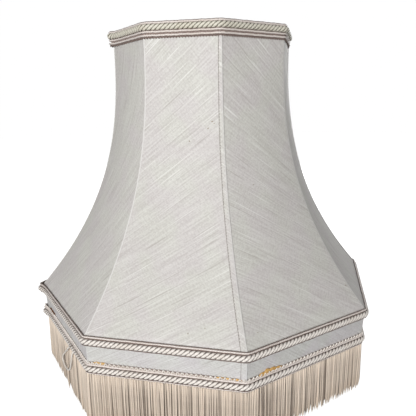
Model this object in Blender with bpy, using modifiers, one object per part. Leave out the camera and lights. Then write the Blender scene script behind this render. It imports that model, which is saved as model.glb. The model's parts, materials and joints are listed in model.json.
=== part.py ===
"""Eight-sided bell lamp shade with a skirt: a wire frame that is taped, lined and covered in silk,
trimmed with three rows of braid and a strand fringe, and hung on a tilting gimbal.

Everything is in metres with +Z up. The origin is the centre of the gimbal's fitter ring, on the
underside that rests on a lampholder. Flat sides face along X and Y, and corners lie between them.
"""

import math

import bpy
from mathutils import Matrix

# Wire frame
SIDES = 8
WIRE = 0.0030
TOP_ACROSS = 0.2032         # top ring, outside, from corner to corner
BASE_ACROSS = 0.4064        # bell ring, outside, from corner to corner
BELL_HEIGHT = 0.2915        # bell ring to top ring, between wire centres
SKIRT_HEIGHT = 0.0355       # skirt ring to bell ring
SKIRT_TAPER = 0.0025        # how far the skirt ring's corners stand inside the bell ring's
WAIST = 0.268               # height over the bell ring where the flare begins
FLARE_POWER = 2.36          # how quickly the flare opens below the waist
RIB_STEPS = 11              # straight steps along one flare

# Gaps left between neighbouring solids
METAL_GAP = 0.0003
CLOTH_GAP = 0.0002
SEAM_GAP = 0.0006           # between neighbouring quarters of cloth

# Cloth, measured outwards from the wire's centre
TAPE_THICK = 0.0004
COVER_IN = 0.0025
COVER_THICK = 0.0006
LINING_OUT = 0.0025
LINING_THICK = 0.0004
TAPE_LEG = 0.0040           # how far a folded tape hangs past its ring
TAPE_SETBACK = 0.008        # strut tape stops this far from the rings

# Trimming: heights are over the bell ring, drops are under it
BRAID_THICK = 0.0005
TOP_BRAID = (0.2787, 0.2948)
TOP_CORD_HEIGHT = 0.2895
TOP_CORD_HALF = 0.00275
MIDDLE_BRAID_UP = 0.0042
MIDDLE_BRAID_DROP = 0.0071
MIDDLE_CORD_DROP = 0.00235
MIDDLE_CORD_HALF = 0.00300
LOWER_BRAID = (0.0254, 0.0395)
LOWER_CORD_DROP = 0.0342
LOWER_CORD_HALF = 0.00265
CORD_HALF_THICK = 0.0017
HEADER_TOP = 0.0300         # the fringe's woven header, behind the lower braid
STRAND_TOP = 0.0405
STRAND_END = 0.0920
STRAND_HALF_THICK = 0.0011

# Gimbal
AXIS_UNDER_RING = 0.0065    # pivot line under the top ring's wire
AXIS_OVER_SEAT = 0.0320     # pivot line over the fitter ring's underside
LUG_HALF_WIDTH = 0.0060
LUG_THICK = 0.0016
LUG_HOLE = 0.0016
PIVOT_PAST_LUG = 0.0025
ARM_BEND = 0.0060
ARM_STRAIGHT = 0.0060       # length of the arm along the pivot line, inside the lug
FITTER_HOLE = 0.0210
FITTER_EDGE = 0.0330
FITTER_THICK = 0.0015
ARM_OVER_FITTER = 0.0040    # how far an arm reaches in over the fitter ring

# Worked out from the sizes above
FLAT = math.cos(math.pi / SIDES)
CORNER = math.pi / SIDES
STEP = 2 * math.pi / SIDES
WIRE_R = WIRE / 2
TOP_R = TOP_ACROSS / 2 - WIRE_R
BELL_R = BASE_ACROSS / 2 - WIRE_R
SKIRT_R = BELL_R - SKIRT_TAPER
AXIS_Z = AXIS_OVER_SEAT
TOP_Z = AXIS_Z + AXIS_UNDER_RING
BELL_Z = TOP_Z - BELL_HEIGHT
SKIRT_Z = BELL_Z - SKIRT_HEIGHT
TAPE_IN = WIRE_R + METAL_GAP
COVER_OUT = COVER_IN + COVER_THICK
BRAID_IN = COVER_OUT + CLOTH_GAP
BRAID_OUT = BRAID_IN + BRAID_THICK
LOWER_BRAID_IN = BRAID_OUT + CLOTH_GAP
LOWER_BRAID_OUT = LOWER_BRAID_IN + BRAID_THICK
FLARE_HEIGHTS = [WAIST * (1 - i / RIB_STEPS) for i in range(RIB_STEPS)]
RIB_HEIGHTS = [*FLARE_HEIGHTS, MIDDLE_BRAID_UP]   # so that cloth and braid bend at one height


# ---- the shape of the shade ---------------------------------------------------------------

def rib_radius(height):
    """Distance from the axis to a strut's centre, at a height over the bell ring."""
    open_share = max(0.0, 1 - height / WAIST)
    return TOP_R + (BELL_R - TOP_R) * open_share ** FLARE_POWER


def rib_slope(height):
    """How fast that distance changes with height."""
    open_share = max(0.0, 1 - height / WAIST)
    return -(BELL_R - TOP_R) * FLARE_POWER * open_share ** (FLARE_POWER - 1) / WAIST


def on_bell(height, out):
    """Corner point of a bell surface that stands `out` square off the strut centres."""
    lean = rib_slope(height) * FLAT
    across = out / math.hypot(1, lean)
    return rib_radius(height) + across / FLAT, BELL_Z + height - across * lean


def on_skirt(drop, out):
    """Corner point of a skirt surface, at a drop under the bell ring."""
    taper = SKIRT_TAPER * min(1, drop / SKIRT_HEIGHT)
    return BELL_R - taper + out / FLAT, BELL_Z - drop


def on_fold(out):
    """Corner point where the bell surface turns down into the skirt."""
    half_turn = math.atan(-rib_slope(0) * FLAT) / 2
    return BELL_R + out / FLAT, BELL_Z + out * math.tan(half_turn)


def around_wire(radius, z, out, angle):
    """Point on a rounding about a ring's wire; angle 0 is outward and 90 is up."""
    turn = math.radians(angle)
    return radius + out * math.cos(turn) / FLAT, z + out * math.sin(turn)


def oval(radius, z, half_thick, half_height, points):
    """Closed oval section, listed downwards on its outer side."""
    turns = [-2 * math.pi * (i + 0.5) / points for i in range(points)]
    return [
        (radius + half_thick * math.cos(turn) / FLAT, z + half_height * math.sin(turn))
        for turn in turns
    ]


def corner_angle(number):
    """Direction of a corner; corner 1 is the one on the front flat's left."""
    return -math.pi / 2 - CORNER + (number - 1) * STEP


def at_corner(number, radius, z):
    angle = corner_angle(number)
    return radius * math.cos(angle), radius * math.sin(angle), z


# ---- making objects -----------------------------------------------------------------------

def clear_scene():
    for old in list(bpy.data.objects):
        bpy.data.objects.remove(old, do_unlink=True)


def new_collection(name):
    collection = bpy.data.collections.new(name)
    bpy.context.scene.collection.children.link(collection)
    return collection


def linear(value):
    """One channel of a screen colour, 0 to 255, as a linear value."""
    share = value / 255
    return share / 12.92 if share <= 0.04045 else ((share + 0.055) / 1.055) ** 2.4


def new_material(name, colour, roughness, metallic=0.0):
    material = bpy.data.materials.new(name)
    material.use_nodes = True
    shader = material.node_tree.nodes["Principled BSDF"]
    shader.inputs["Base Color"].default_value = [*map(linear, colour), 1]
    shader.inputs["Roughness"].default_value = roughness
    shader.inputs["Metallic"].default_value = metallic
    return material


def steel(name):
    return new_material(name, (176, 174, 170), 0.35, 1.0)


def link(obj, collection, material, pivot):
    """Puts the object in its collection, with its own material, moving with its pivot."""
    collection.objects.link(obj)
    obj.data.materials.append(material)
    obj.parent = pivot
    obj.matrix_parent_inverse = Matrix.Translation(-pivot.location)
    return obj


def turned(name, profile, closed, start, angle, steps):
    """An (radius, z) profile swept round the axis in straight steps."""
    mesh = bpy.data.meshes.new(name)
    edges = [(i, i + 1) for i in range(len(profile) - 1)]
    if closed:
        edges.append((len(profile) - 1, 0))
    mesh.from_pydata([(radius, 0, z) for radius, z in profile], edges, [])
    obj = bpy.data.objects.new(name, mesh)
    obj.rotation_euler.z = start
    screw = obj.modifiers.new("Sweep", "SCREW")
    screw.axis = "Z"
    screw.angle = angle
    screw.steps = steps
    screw.render_steps = steps
    screw.use_merge_vertices = True
    screw.merge_threshold = 0.00001
    screw.use_smooth_shade = False
    return obj


def octagon(name, profile):
    """A closed section carried round all eight sides."""
    return turned(name, profile, True, CORNER, 2 * math.pi, SIDES)


def cloth_quarter(name, profile, first_corner, thick):
    """Two flat sides of cloth between two seams, thickened inwards."""
    panel = turned(name, profile, False, corner_angle(first_corner), 2 * STEP, 2)
    shell = panel.modifiers.new("Cloth", "SOLIDIFY")
    shell.thickness = thick
    shell.offset = -1
    shell.use_even_offset = True
    return panel


def wire(name, points, radius, capped=True):
    """A round wire or tube along a list of points."""
    curve = bpy.data.curves.new(name, "CURVE")
    curve.dimensions = "3D"
    spline = curve.splines.new("POLY")
    spline.points.add(len(points) - 1)
    for slot, point in zip(spline.points, points):
        slot.co = (*point, 1)
    curve.bevel_depth = radius
    curve.bevel_resolution = 2
    curve.use_fill_caps = capped
    return bpy.data.objects.new(name, curve)


def rounded(points, radius, steps):
    """The same path with each inner point replaced by an arc, for paths in one plane."""
    path = [points[0]]
    for before, here, after in zip(points, points[1:], points[2:]):
        back = [b - h for b, h in zip(before, here)]
        on = [a - h for a, h in zip(after, here)]
        back_length = math.hypot(*back)
        on_length = math.hypot(*on)
        cosine = sum(b * o for b, o in zip(back, on)) / (back_length * on_length)
        half = math.acos(cosine) / 2
        reach = radius / math.tan(half)
        start = [h + b * reach / back_length for h, b in zip(here, back)]
        end = [h + o * reach / on_length for h, o in zip(here, on)]
        middle = [(s + e) / 2 - h for s, e, h in zip(start, end, here)]
        distance = radius / math.sin(half) / math.hypot(*middle)
        centre = [h + m * distance for h, m in zip(here, middle)]
        first = [s - c for s, c in zip(start, centre)]
        last = [e - c for e, c in zip(end, centre)]
        turn = math.pi - 2 * half
        for i in range(steps + 1):
            share = turn * i / steps
            keep = math.sin(turn - share) / math.sin(turn)
            gain = math.sin(share) / math.sin(turn)
            path.append([c + keep * f + gain * g for c, f, g in zip(centre, first, last)])
    path.append(points[-1])
    return path


# ---- wire frame ---------------------------------------------------------------------------

def frame_ring(name, radius, z):
    return octagon(name, oval(radius, z, WIRE_R, WIRE_R, 8))


def strut(number):
    """A flared wire from the bell ring up to the top ring, butted to both."""
    weld = WIRE_R + METAL_GAP
    foot = weld * math.cos(math.atan(-rib_slope(0)))
    heights = [BELL_HEIGHT - weld, *RIB_HEIGHTS, foot]
    points = [at_corner(number, rib_radius(h), BELL_Z + h) for h in heights]
    return wire(f"strut_{number}", points, WIRE_R)


def skirt_post(number):
    """A short wire from the bell ring down to the skirt ring."""
    weld = WIRE_R + METAL_GAP
    drops = (weld, SKIRT_HEIGHT - weld)
    points = [at_corner(number, *on_skirt(drop, 0)) for drop in drops]
    return wire(f"skirt_post_{number}", points, WIRE_R)


# ---- binding tapes ------------------------------------------------------------------------

def folded_tape(name, radius, z, way, angles):
    """Tape laid over a ring, with its outer leg hanging past the wire on the struts' side."""
    inner = [around_wire(radius, z, TAPE_IN, way * a) for a in angles]
    outer = [around_wire(radius, z, TAPE_IN + TAPE_THICK, way * a) for a in angles]
    inner.append((inner[-1][0], z - way * TAPE_LEG))
    outer.append((outer[-1][0], z - way * TAPE_LEG))
    section = outer + inner[::-1]
    return octagon(name, section if way > 0 else section[::-1])


def bell_ring_tape():
    """A strip along the outside of the bell ring, bent where the bell turns into the skirt."""
    near = TAPE_IN
    far = TAPE_IN + TAPE_THICK
    outer = [on_bell(TAPE_LEG, far), on_fold(far), on_skirt(TAPE_LEG, far)]
    inner = [on_bell(TAPE_LEG, near), on_fold(near), on_skirt(TAPE_LEG, near)]
    return octagon("bell_ring_tape", outer + inner[::-1])


def strut_tape(number, corner):
    """Tape wound round a strut that carries a seam."""
    heights = [BELL_HEIGHT - TAPE_SETBACK, *FLARE_HEIGHTS, TAPE_SETBACK]
    points = [at_corner(corner, rib_radius(h), BELL_Z + h) for h in heights]
    tape = wire(f"strut_tape_{number}", points, TAPE_IN, capped=False)
    wall = tape.modifiers.new("Tape", "SOLIDIFY")
    wall.thickness = TAPE_THICK
    wall.offset = 1
    return tape


# ---- cloth --------------------------------------------------------------------------------

def cover(number, corner):
    """Silk from over the top ring down to the bell ring."""
    over_ring = [around_wire(TOP_R, TOP_Z, COVER_OUT, angle) for angle in (100, 67, 33, 0)]
    down_bell = [on_bell(height, COVER_OUT) for height in RIB_HEIGHTS]
    at_ring = [on_fold(COVER_OUT), on_skirt(0, COVER_OUT)]
    return cloth_quarter(f"cover_{number}", over_ring + down_bell + at_ring, corner, COVER_THICK)


def skirt_cover(number, corner):
    """The band of silk under the bell ring."""
    drops = (METAL_GAP, SKIRT_HEIGHT, SKIRT_HEIGHT + WIRE_R)
    band = [on_skirt(drop, COVER_OUT) for drop in drops]
    return cloth_quarter(f"skirt_cover_{number}", band, corner, COVER_THICK)


def lining(number, corner):
    """Thin cloth on the inside of the struts, from the top ring to the skirt ring."""
    bell = [on_bell(height, -LINING_OUT) for height in (BELL_HEIGHT, *RIB_HEIGHTS)]
    skirt = [on_fold(-LINING_OUT), on_skirt(SKIRT_HEIGHT + WIRE_R, -LINING_OUT)]
    return cloth_quarter(f"lining_{number}", bell + skirt, corner, LINING_THICK)


def box_cutter(name, size, location, turn, cutters):
    """A hidden block for cutting other pieces."""
    bpy.ops.mesh.primitive_cube_add(size=1, location=location, rotation=(0, 0, turn))
    cutter = bpy.context.object
    cutter.name = name
    cutter.scale = size
    cutter.hide_render = True
    cutter.display_type = "WIRE"
    for collection in cutter.users_collection:
        collection.objects.unlink(cutter)
    cutters.objects.link(cutter)
    return cutter


def seam_slab(corner, cutters):
    """A thin upright slab through the axis and the seam at a corner."""
    size = (2 * BASE_ACROSS, SEAM_GAP, 3 * BELL_HEIGHT)
    return box_cutter(f"seam_slab_{corner}", size, (0, 0, BELL_Z), corner_angle(corner), cutters)


def lug_notch(side, cutters):
    """A block that opens the lining's top edge round a gimbal lug."""
    deep = AXIS_UNDER_RING + LUG_HALF_WIDTH + 2 * METAL_GAP
    size = (0.02, 2 * LUG_HALF_WIDTH + 0.002, 2 * deep)
    return box_cutter(f"lug_notch_{side}", size, (side * TOP_R * FLAT, 0, TOP_Z), 0, cutters)


def cut(piece, cutter):
    boolean = piece.modifiers.new("Cut", "BOOLEAN")
    boolean.operation = "DIFFERENCE"
    boolean.object = cutter


# ---- trimming -----------------------------------------------------------------------------

def cord(name, radius, z, out, half_height):
    """A thick twisted cord, drawn here as a plain oval ring."""
    return octagon(name, oval(radius + out / FLAT, z, CORD_HALF_THICK, half_height, 8))


def top_braid():
    low, high = TOP_BRAID
    section = [
        (TOP_R + BRAID_OUT / FLAT, BELL_Z + high),
        (TOP_R + BRAID_OUT / FLAT, BELL_Z + low),
        (TOP_R + BRAID_IN / FLAT, BELL_Z + low),
        (TOP_R + BRAID_IN / FLAT, BELL_Z + high),
    ]
    return octagon("top_braid", section)


def middle_braid():
    """The braid bent over the fold between bell and skirt."""
    outer = [
        on_bell(MIDDLE_BRAID_UP, BRAID_OUT),
        on_fold(BRAID_OUT),
        on_skirt(MIDDLE_BRAID_DROP, BRAID_OUT),
    ]
    inner = [
        on_skirt(MIDDLE_BRAID_DROP, BRAID_IN),
        on_fold(BRAID_IN),
        on_bell(MIDDLE_BRAID_UP, BRAID_IN),
    ]
    return octagon("middle_braid", outer + inner)


def lower_braid():
    """The braid that covers the fringe's header."""
    high, low = LOWER_BRAID
    outer = [on_skirt(drop, LOWER_BRAID_OUT) for drop in (high, SKIRT_HEIGHT, low)]
    inner = [on_skirt(drop, LOWER_BRAID_IN) for drop in (low, SKIRT_HEIGHT, high)]
    return octagon("lower_braid", outer + inner)


def fringe():
    """Header and hanging strands in one length, sewn round the skirt ring."""
    middle = (BRAID_IN + BRAID_OUT) / 2
    outer = [
        on_skirt(HEADER_TOP, BRAID_OUT),
        on_skirt(SKIRT_HEIGHT, BRAID_OUT),
        on_skirt(STRAND_TOP, BRAID_OUT),
        on_skirt(STRAND_TOP + STRAND_HALF_THICK, middle + STRAND_HALF_THICK),
        on_skirt(STRAND_END, middle + STRAND_HALF_THICK),
    ]
    inner = [
        on_skirt(STRAND_END, middle - STRAND_HALF_THICK),
        on_skirt(STRAND_TOP + STRAND_HALF_THICK, middle - STRAND_HALF_THICK),
        on_skirt(STRAND_TOP, BRAID_IN),
        on_skirt(SKIRT_HEIGHT, BRAID_IN),
        on_skirt(HEADER_TOP, BRAID_IN),
    ]
    return octagon("fringe", outer + inner)


# ---- gimbal -------------------------------------------------------------------------------

def arc_points(radius, first, last, steps):
    """Points along an arc between two angles in degrees, both ends included."""
    turns = [math.radians(first + (last - first) * i / steps) for i in range(steps + 1)]
    return [(radius * math.cos(turn), radius * math.sin(turn)) for turn in turns]


def lug(name, side):
    """A flat tab welded inside the top ring, with the pivot hole at its middle."""
    top = AXIS_UNDER_RING + METAL_GAP
    round_end = arc_points(LUG_HALF_WIDTH, 180, 360, 12)
    outline = [(LUG_HALF_WIDTH, top), (-LUG_HALF_WIDTH, top), *round_end]
    hole = arc_points(LUG_HOLE, 0, 360, 24)[:-1]
    curve = bpy.data.curves.new(name, "CURVE")
    curve.dimensions = "2D"
    curve.fill_mode = "BOTH"
    curve.extrude = LUG_THICK / 2
    for points in (outline, hole):
        spline = curve.splines.new("POLY")
        spline.points.add(len(points) - 1)
        for slot, (across, up) in zip(spline.points, points):
            slot.co = (across, up, 0, 1)
        spline.use_cyclic_u = True
    tab = bpy.data.objects.new(name, curve)
    tab.location = (side * (TOP_R * FLAT - WIRE_R - METAL_GAP - LUG_THICK / 2), 0, AXIS_Z)
    tab.rotation_euler = (math.pi / 2, 0, math.pi / 2)
    return tab


def arm(name, side):
    """A wire from the pivot hole, bent down and in to the top of the fitter ring."""
    lug_outside = TOP_R * FLAT - WIRE_R - METAL_GAP
    lug_inside = lug_outside - LUG_THICK
    over_ring = FITTER_THICK + METAL_GAP + WIRE_R
    corners = [
        (side * (lug_outside + PIVOT_PAST_LUG), 0, AXIS_Z),
        (side * (lug_inside - ARM_STRAIGHT), 0, AXIS_Z),
        (side * (FITTER_EDGE + ARM_BEND), 0, over_ring),
        (side * (FITTER_EDGE - ARM_OVER_FITTER), 0, over_ring),
    ]
    return wire(name, rounded(corners, ARM_BEND, 4), WIRE_R)


def fitter_ring():
    """The flat pressed ring that a lampholder passes up through."""
    section = [
        (FITTER_EDGE, FITTER_THICK),
        (FITTER_EDGE, 0),
        (FITTER_HOLE, 0),
        (FITTER_HOLE, FITTER_THICK),
    ]
    return turned("fitter_ring", section, True, 0, 2 * math.pi, 40)


# ---- the whole shade ----------------------------------------------------------------------

def shade_parts(cutters):
    """Every piece that tilts, with the colour of its own material."""
    wire_z = ((TOP_R, TOP_Z, "top"), (BELL_R, BELL_Z, "bell"), (SKIRT_R, SKIRT_Z, "skirt"))
    for radius, z, word in wire_z:
        yield frame_ring(f"{word}_ring", radius, z), steel(f"{word}_ring_wire")
    for number in range(1, SIDES + 1):
        yield strut(number), steel(f"strut_{number}_wire")
        yield skirt_post(number), steel(f"skirt_post_{number}_wire")
    for side, name in ((1, "lug_right"), (-1, "lug_left")):
        yield lug(name, side), steel(f"{name}_steel")

    tapes = [
        folded_tape("top_ring_tape", TOP_R, TOP_Z, 1, (150, 120, 90, 60, 30, 0)),
        bell_ring_tape(),
        folded_tape("skirt_ring_tape", SKIRT_R, SKIRT_Z, -1, (150, 120, 90, 60, 30, 0)),
    ]
    seams = (2, 4, 6, 8)
    tapes += [strut_tape(number, corner) for number, corner in enumerate(seams, 1)]
    for tape in tapes:
        yield tape, new_material(f"{tape.name}_cotton", (214, 207, 194), 0.9)

    slabs = [seam_slab(corner, cutters) for corner in seams[:2]]
    notches = {1: lug_notch(1, cutters), 3: lug_notch(-1, cutters)}
    for number, corner in enumerate(seams, 1):
        cloths = (
            (cover(number, corner), "silk", (226, 220, 210), 0.6),
            (skirt_cover(number, corner), "silk", (222, 215, 205), 0.6),
            (lining(number, corner), "cloth", (232, 228, 219), 0.8),
        )
        for cloth, kind, colour, roughness in cloths:
            for slab in slabs:
                cut(cloth, slab)
            if cloth.name.startswith("lining") and number in notches:
                cut(cloth, notches[number])
            yield cloth, new_material(f"{cloth.name}_{kind}", colour, roughness)

    braids = (top_braid(), middle_braid(), lower_braid())
    for braid in braids:
        yield braid, new_material(f"{braid.name}_gimp", (178, 163, 152), 0.75)
    cords = (
        cord("top_cord", TOP_R, BELL_Z + TOP_CORD_HEIGHT,
             BRAID_OUT + CLOTH_GAP + CORD_HALF_THICK, TOP_CORD_HALF),
        cord("middle_cord", *on_skirt(MIDDLE_CORD_DROP, 0),
             BRAID_OUT + CLOTH_GAP + CORD_HALF_THICK, MIDDLE_CORD_HALF),
        cord("lower_cord", *on_skirt(LOWER_CORD_DROP, 0),
             LOWER_BRAID_OUT + CLOTH_GAP + CORD_HALF_THICK, LOWER_CORD_HALF),
    )
    for rope in cords:
        yield rope, new_material(f"{rope.name}_rayon", (224, 219, 203), 0.5)
    yield fringe(), new_material("fringe_rayon", (204, 189, 173), 0.55)


def gimbal_parts():
    """The pieces that stay with the lampholder."""
    for side, name in ((1, "arm_right"), (-1, "arm_left")):
        yield arm(name, side), steel(f"{name}_wire")
    yield fitter_ring(), steel("fitter_ring_steel")


def build():
    clear_scene()
    shade = new_collection("lamp_shade")
    cutters = new_collection("cutters")
    pivot = bpy.data.objects.new("shade_pivot", None)
    pivot.location.z = AXIS_Z
    seat = bpy.data.objects.new("lampholder_seat", None)
    for empty in (pivot, seat):
        shade.objects.link(empty)
    for piece, material in shade_parts(cutters):
        link(piece, shade, material, pivot)
    for piece, material in gimbal_parts():
        link(piece, shade, material, seat)


build()
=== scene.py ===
import json
import math

import bpy
import numpy as np
from mathutils import Matrix, Vector


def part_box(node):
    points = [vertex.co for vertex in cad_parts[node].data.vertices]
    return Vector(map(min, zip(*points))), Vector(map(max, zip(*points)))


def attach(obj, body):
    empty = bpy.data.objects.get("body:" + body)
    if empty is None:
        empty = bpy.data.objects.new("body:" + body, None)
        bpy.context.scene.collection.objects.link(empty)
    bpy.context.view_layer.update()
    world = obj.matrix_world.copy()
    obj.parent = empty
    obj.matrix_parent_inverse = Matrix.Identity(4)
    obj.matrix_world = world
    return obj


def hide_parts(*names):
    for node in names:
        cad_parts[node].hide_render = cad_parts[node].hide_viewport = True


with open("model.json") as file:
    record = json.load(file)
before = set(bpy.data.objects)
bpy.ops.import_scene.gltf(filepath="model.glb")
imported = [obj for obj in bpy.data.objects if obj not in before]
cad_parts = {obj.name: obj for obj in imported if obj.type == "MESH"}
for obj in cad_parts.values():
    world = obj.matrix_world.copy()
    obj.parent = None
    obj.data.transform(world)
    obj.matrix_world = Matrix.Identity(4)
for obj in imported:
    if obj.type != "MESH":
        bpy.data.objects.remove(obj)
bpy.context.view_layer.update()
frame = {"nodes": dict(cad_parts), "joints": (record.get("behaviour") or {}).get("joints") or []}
scene = bpy.context.scene
print("frame loaded:", len(frame["nodes"]), "nodes")

# the frame's own sizes
sides = 8
sideTurn = 2 * math.pi / sides
flat = math.cos(sideTurn / 2)
wireRadius = 0.0015
flare = {"waist": 0.268, "power": 2.36}     # height where the neck starts to open, and how fast


def ringSize(node):
    low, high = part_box(node)
    return high.x - wireRadius * flat, (low.z + high.z) / 2


topFlat, topZ = ringSize("top_ring")        # middle of a flat to the axis, height of the wire
bellFlat, bellZ = ringSize("bell_ring")
skirtFlat, skirtZ = ringSize("skirt_ring")
bellTall = topZ - bellZ
skirtTall = bellZ - skirtZ
axisZ = frame["joints"][0]["pos_m"][2]
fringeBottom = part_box("fringe")[0].z


def cornerAngle(number):
    # Corner 1 is left of the front flat, and they count up to the right.
    return -math.pi / 2 - sideTurn / 2 + (number - 1) * sideTurn


def openShare(height):
    # 0 from the neck up, 1 at the bell ring.
    return np.clip(1 - np.asarray(height, float) / flare["waist"], 0, 1)


def ribFlat(height):
    # Middle of a flat to the axis, on the struts' own line.
    return topFlat + (bellFlat - topFlat) * openShare(height) ** flare["power"]


def ribLean(height):
    steep = openShare(height) ** (flare["power"] - 1)
    return -(bellFlat - topFlat) * flare["power"] * steep / flare["waist"]


def onBell(height, out):
    lean = ribLean(height)
    across = out / np.hypot(1, lean)
    return ribFlat(height) + across, bellZ + height - across * lean


def onSkirt(drop, out):
    share = np.clip(np.asarray(drop, float) / skirtTall, 0, 1)
    return bellFlat + (skirtFlat - bellFlat) * share + out, bellZ - np.asarray(drop, float)


def foldRise(out):
    # How far over the bell ring's wire a cloth standing out this far turns down.
    return out * math.tan(math.atan(-float(ribLean(0))) / 2)


def sideWidth(rowFlat):
    # Width of one flat side whose middle is this far from the axis.
    return 2 * np.asarray(rowFlat, float) * math.tan(sideTurn / 2)


def clothLean(heights):
    # Lean of the cloth: the struts' on the bell, none on the rings and the skirt.
    onStruts = (heights > 0) & (heights < bellTall)
    return np.where(onStruts, ribLean(np.clip(heights, 0, bellTall)), 0)[:, None]


def runLength(rowFlat, rowZ):
    return np.append(0, np.cumsum(np.hypot(np.diff(rowFlat), np.diff(rowZ))))


def facingOf(turn):
    return (math.cos(turn), math.sin(turn), 0)


# camera
cameraAt = {"azimuth": 12.86, "distance": 0.5672, "overBell": 0.2197,
            "pitch": 13.30, "yaw": 0.22, "roll": -0.79, "lens": 39.71}


def makeCamera():
    c = cameraAt
    turn = math.radians(c["azimuth"])
    right = Vector((math.cos(turn), math.sin(turn), 0))
    ahead = Vector((-math.sin(turn), math.cos(turn), 0))
    yaw, pitch, roll = (math.radians(c[k]) for k in ("yaw", "pitch", "roll"))
    level = ahead * math.cos(yaw) + right * math.sin(yaw)
    across = right * math.cos(yaw) - ahead * math.sin(yaw)
    look = level * math.cos(pitch) - Vector((0, 0, math.sin(pitch)))
    up = across.cross(look)
    xAxis = across * math.cos(roll) + up * math.sin(roll)
    yAxis = up * math.cos(roll) - across * math.sin(roll)
    data = bpy.data.cameras.new("camera")
    data.lens = c["lens"]
    data.sensor_width = 36
    camera = bpy.data.objects.new("camera", data)
    scene.collection.objects.link(camera)
    place = -ahead * c["distance"] + Vector((0, 0, bellZ + c["overBell"]))
    camera.matrix_world = Matrix((
        (xAxis.x, yAxis.x, -look.x, place.x),
        (xAxis.y, yAxis.y, -look.y, place.y),
        (xAxis.z, yAxis.z, -look.z, place.z),
        (0, 0, 0, 1)))
    scene.camera = camera


makeCamera()
print("camera set")


# mesh helpers
def gridMesh(name, grids, wrapRows=False, wrapCols=False, uv=None, tone=None, uvBeyond=None):
    # One mesh of many point grids, shaped (pieces, rows, columns, 3).
    # uvBeyond is a second UV grid, for the columns past the middle one.
    grids = np.asarray(grids, float)
    if grids.ndim == 3:
        grids = grids[None]
    pieces, rows, cols = grids.shape[:3]
    rr, cc = np.meshgrid(np.arange(rows if wrapRows else rows - 1),
                         np.arange(cols if wrapCols else cols - 1), indexing="ij")
    nextR, nextC = (rr + 1) % rows, (cc + 1) % cols
    quad = np.stack([rr * cols + cc, nextR * cols + cc, nextR * cols + nextC, rr * cols + nextC], -1)
    faces = quad.reshape(1, -1, 4) + (np.arange(pieces) * rows * cols)[:, None, None]
    mesh = bpy.data.meshes.new(name)
    mesh.from_pydata(grids.reshape(-1, 3).tolist(), [], faces.reshape(-1, 4).tolist())

    def cornerUv(values):
        values = np.broadcast_to(np.asarray(values, float), (pieces, rows + 1, cols + 1, 2))
        return np.stack([values[:, rr, cc], values[:, rr + 1, cc],
                         values[:, rr + 1, cc + 1], values[:, rr, cc + 1]], -2)

    if uv is not None:
        flatUv = cornerUv(uv)
        if uvBeyond is not None:
            flatUv = np.where((cc >= cols // 2)[None, ..., None, None], cornerUv(uvBeyond), flatUv)
        layer = mesh.uv_layers.new(name="UVMap")
        layer.data.foreach_set("uv", flatUv.reshape(-1).astype(np.float32))
    if tone is not None:
        values = np.broadcast_to(tone, grids.shape[:3]).reshape(-1)
        attribute = mesh.attributes.new("tone", "FLOAT", "POINT")
        attribute.data.foreach_set("value", values.astype(np.float32))
    mesh.polygons.foreach_set("use_smooth", np.ones(len(mesh.polygons), bool))
    mesh.update()
    obj = bpy.data.objects.new(name, mesh)
    scene.collection.objects.link(obj)
    return obj


def paddedUv(rowValues, colValues):
    # A UV grid one row and one column longer than the points, for wrapped edges.
    rowValues = np.append(rowValues, 2 * rowValues[-1] - rowValues[-2])
    colValues = np.append(colValues, 2 * colValues[-1] - colValues[-2])
    v, u = np.meshgrid(rowValues, colValues, indexing="ij")
    return np.stack([u, v], -1)


sweepStep = 0.004      # length between the rows of a band swept round the ring
trimJoin = {"spot": 0.8725, "width": 0.0068}      # where the ends of each trim meet, a corner


def ringPath(apothem, bend, spots, proud=0.0):
    # Points and outward normals round the eight sides, with rounded corners. spots run 0 to 1.
    # proud is how far the path stands out where the ends of the trim are joined.
    straight = 2 * (apothem - bend) * math.tan(sideTurn / 2)
    arc = bend * sideTurn
    sideLength = straight + arc
    along = np.asarray(spots, float) * sides * sideLength
    number = np.floor(along / sideLength)
    rest = along - number * sideLength
    turn = -math.pi / 2 + number * sideTurn
    swing = np.clip((rest - straight) / bend, 0, sideTurn)
    slide = np.minimum(rest, straight) - straight / 2
    angle = turn + swing
    normal = np.stack([np.cos(angle), np.sin(angle)], -1)
    base = np.stack([np.cos(turn), np.sin(turn)], -1)
    side = np.stack([-np.sin(turn), np.cos(turn)], -1)
    inner = base * (apothem - bend) + side * slide[..., None]
    return inner + (bend + proud * joinShare(apothem, bend, spots))[..., None] * normal, normal


def joinShare(apothem, bend, spots):
    away = (np.asarray(spots, float) - trimJoin["spot"] + 0.5) % 1 - 0.5
    away = away * ringLength(apothem, bend)
    return np.exp(-np.abs(away) / trimJoin["width"])


def ringLength(apothem, bend):
    return sides * (2 * (apothem - bend) * math.tan(sideTurn / 2) + bend * sideTurn)


def sweepRing(name, apothem, bend, section, tone, proud=0.0, rise=0.0):
    # A section of (out, z) points carried round the ring path.
    count = int(ringLength(apothem, bend) / sweepStep)
    spots = np.arange(count) / count
    base, normal = ringPath(apothem, bend, spots, proud)
    section = np.asarray(section, float)
    out, z = section[:, 0], section[:, 1]
    xy = base[:, None] + normal[:, None] * out[None, :, None]
    tall = z[None] + rise * joinShare(apothem, bend, spots)[:, None]
    points = np.concatenate([xy, tall[..., None]], -1)
    uv = paddedUv(spots * ringLength(apothem, bend), runLength(out, z))
    return gridMesh(name, points, True, True, uv, tone)


def unit(values):
    return values / np.maximum(np.linalg.norm(values, axis=-1, keepdims=True), 1e-12)


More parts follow.
